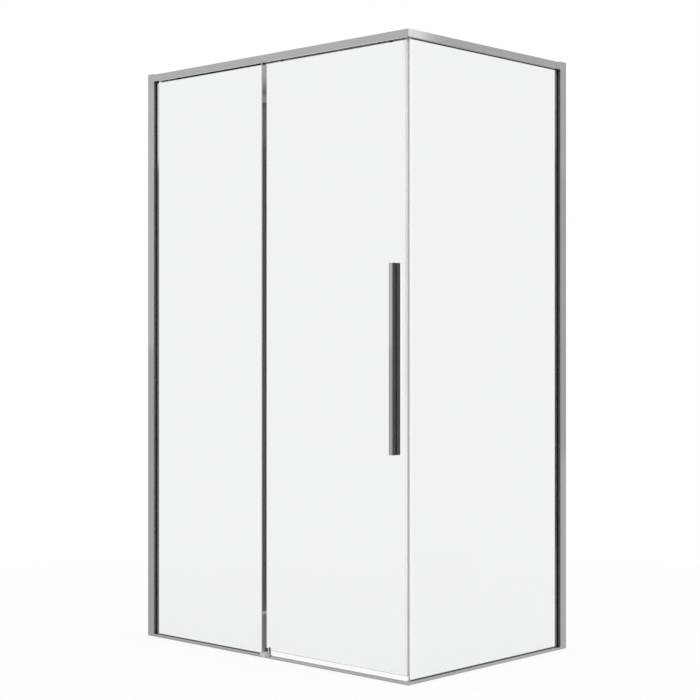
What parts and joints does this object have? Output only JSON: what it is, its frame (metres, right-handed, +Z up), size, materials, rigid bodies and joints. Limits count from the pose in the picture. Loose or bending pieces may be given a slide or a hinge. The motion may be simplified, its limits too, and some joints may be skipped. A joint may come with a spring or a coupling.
{
  "type": "shower enclosure with sliding door",
  "caption": "Corner shower enclosure with slim bright metal frame, fixed pane and sliding glass door on top rollers along the front, a fixed side pane and a long slim bar handle.",
  "frame": {"origin": "middle of the 1200 by 800 mm footprint, at the foot", "axes": "+X along the front from the left wall to the free corner, +Y from the front face into the cabin towards the back wall, +Z up"},
  "size_m": [1.2, 0.8, 1.95],
  "materials": {
    "bright_profile": "bright polished and anodised extrusion",
    "cap_plastic": "silver moulded plastic",
    "connector": "die cast, satin",
    "steel": "stainless steel",
    "dark_metal": "dark satin disc",
    "gasket": "matt dark rubber",
    "safety_glass": "clear 6 mm toughened glass with a faint green edge",
    "clear_seal": "soft translucent white profile",
    "pile": "fine dark grey pile",
    "magnet": "magnet strip in pale plastic",
    "guide_grey": "grey moulded block",
    "dark_nylon": "dark nylon",
    "roller_nylon": "white nylon"
  },
  "bodies": {
    "enclosure": {"adjusting_profile_left": "bright_profile", "adjusting_profile_right": "bright_profile", "adjusting_screws": "steel", "bottom_corner_connector": "cap_plastic", "door_threshold": "bright_profile", "fixed_glass": "safety_glass", "front_bottom_gasket": "gasket", "front_bottom_profile": "bright_profile", "front_top_gasket": "gasket", "front_top_rail": "bright_profile", "guide_base": "guide_grey", "guide_fork": "dark_nylon", "guide_screw": "steel", "overlap_stile": "bright_profile", "rail_bracket_left": "connector", "rail_bracket_right": "connector", "rail_corner_connector": "connector", "rail_end_cap": "bright_profile", "rail_screws": "steel", "screw_covers": "cap_plastic", "side_bottom_gasket": "gasket", "side_bottom_profile": "bright_profile", "side_edge_seal": "clear_seal", "side_glass": "safety_glass", "side_magnet_strip": "magnet", "side_top_gasket": "gasket", "side_top_rail": "bright_profile", "stile_seal": "pile", "track_stops": "gasket", "wall_cap_left": "cap_plastic", "wall_cap_right": "cap_plastic", "wall_gasket_left": "gasket", "wall_gasket_right": "gasket", "wall_profile_left": "bright_profile", "wall_profile_right": "bright_profile"},
    "door": {"clamp_bolts": "steel", "clamp_bushes": "dark_nylon", "clamp_discs": "dark_metal", "door_drip_seal": "clear_seal", "door_edge_seal": "clear_seal", "door_glass": "safety_glass", "door_magnet_strip": "magnet", "door_trailing_seal": "clear_seal", "handle_bushes": "dark_nylon", "handle_inner": "bright_profile", "handle_outer": "bright_profile", "handle_pads": "gasket", "handle_studs": "steel", "hanger_left": "steel", "hanger_right": "steel", "roller_axles": "steel"},
    "roller_1": {"roller_tyre_1": "roller_nylon", "roller_bearing_1": "steel"},
    "roller_2": {"roller_tyre_2": "roller_nylon", "roller_bearing_2": "steel"},
    "roller_3": {"roller_tyre_3": "roller_nylon", "roller_bearing_3": "steel"},
    "roller_4": {"roller_tyre_4": "roller_nylon", "roller_bearing_4": "steel"}
  },
  "joints": [
    {"name": "door_slide", "type": "slide", "parent": "enclosure", "child": "door", "axis": [-1, 0, 0], "range_m": [0, 0.495]},
    {"name": "roller_1_spin", "type": "hinge", "parent": "door", "child": "roller_1", "pos_m": [0.025, -0.3659, 1.9338], "axis": [0, -1, 0], "range_deg": [0, 3546]},
    {"name": "roller_2_spin", "type": "hinge", "parent": "door", "child": "roller_2", "pos_m": [0.065, -0.3659, 1.9338], "axis": [0, -1, 0], "range_deg": [0, 3546]},
    {"name": "roller_3_spin", "type": "hinge", "parent": "door", "child": "roller_3", "pos_m": [0.492, -0.3659, 1.9338], "axis": [0, -1, 0], "range_deg": [0, 3546]},
    {"name": "roller_4_spin", "type": "hinge", "parent": "door", "child": "roller_4", "pos_m": [0.532, -0.3659, 1.9338], "axis": [0, -1, 0], "range_deg": [0, 3546]}
  ],
  "couplings": [
    {"joint": "roller_1_spin", "follows": "door_slide", "rad_per_m": 125},
    {"joint": "roller_2_spin", "follows": "door_slide", "rad_per_m": 125},
    {"joint": "roller_3_spin", "follows": "door_slide", "rad_per_m": 125},
    {"joint": "roller_4_spin", "follows": "door_slide", "rad_per_m": 125}
  ]
}
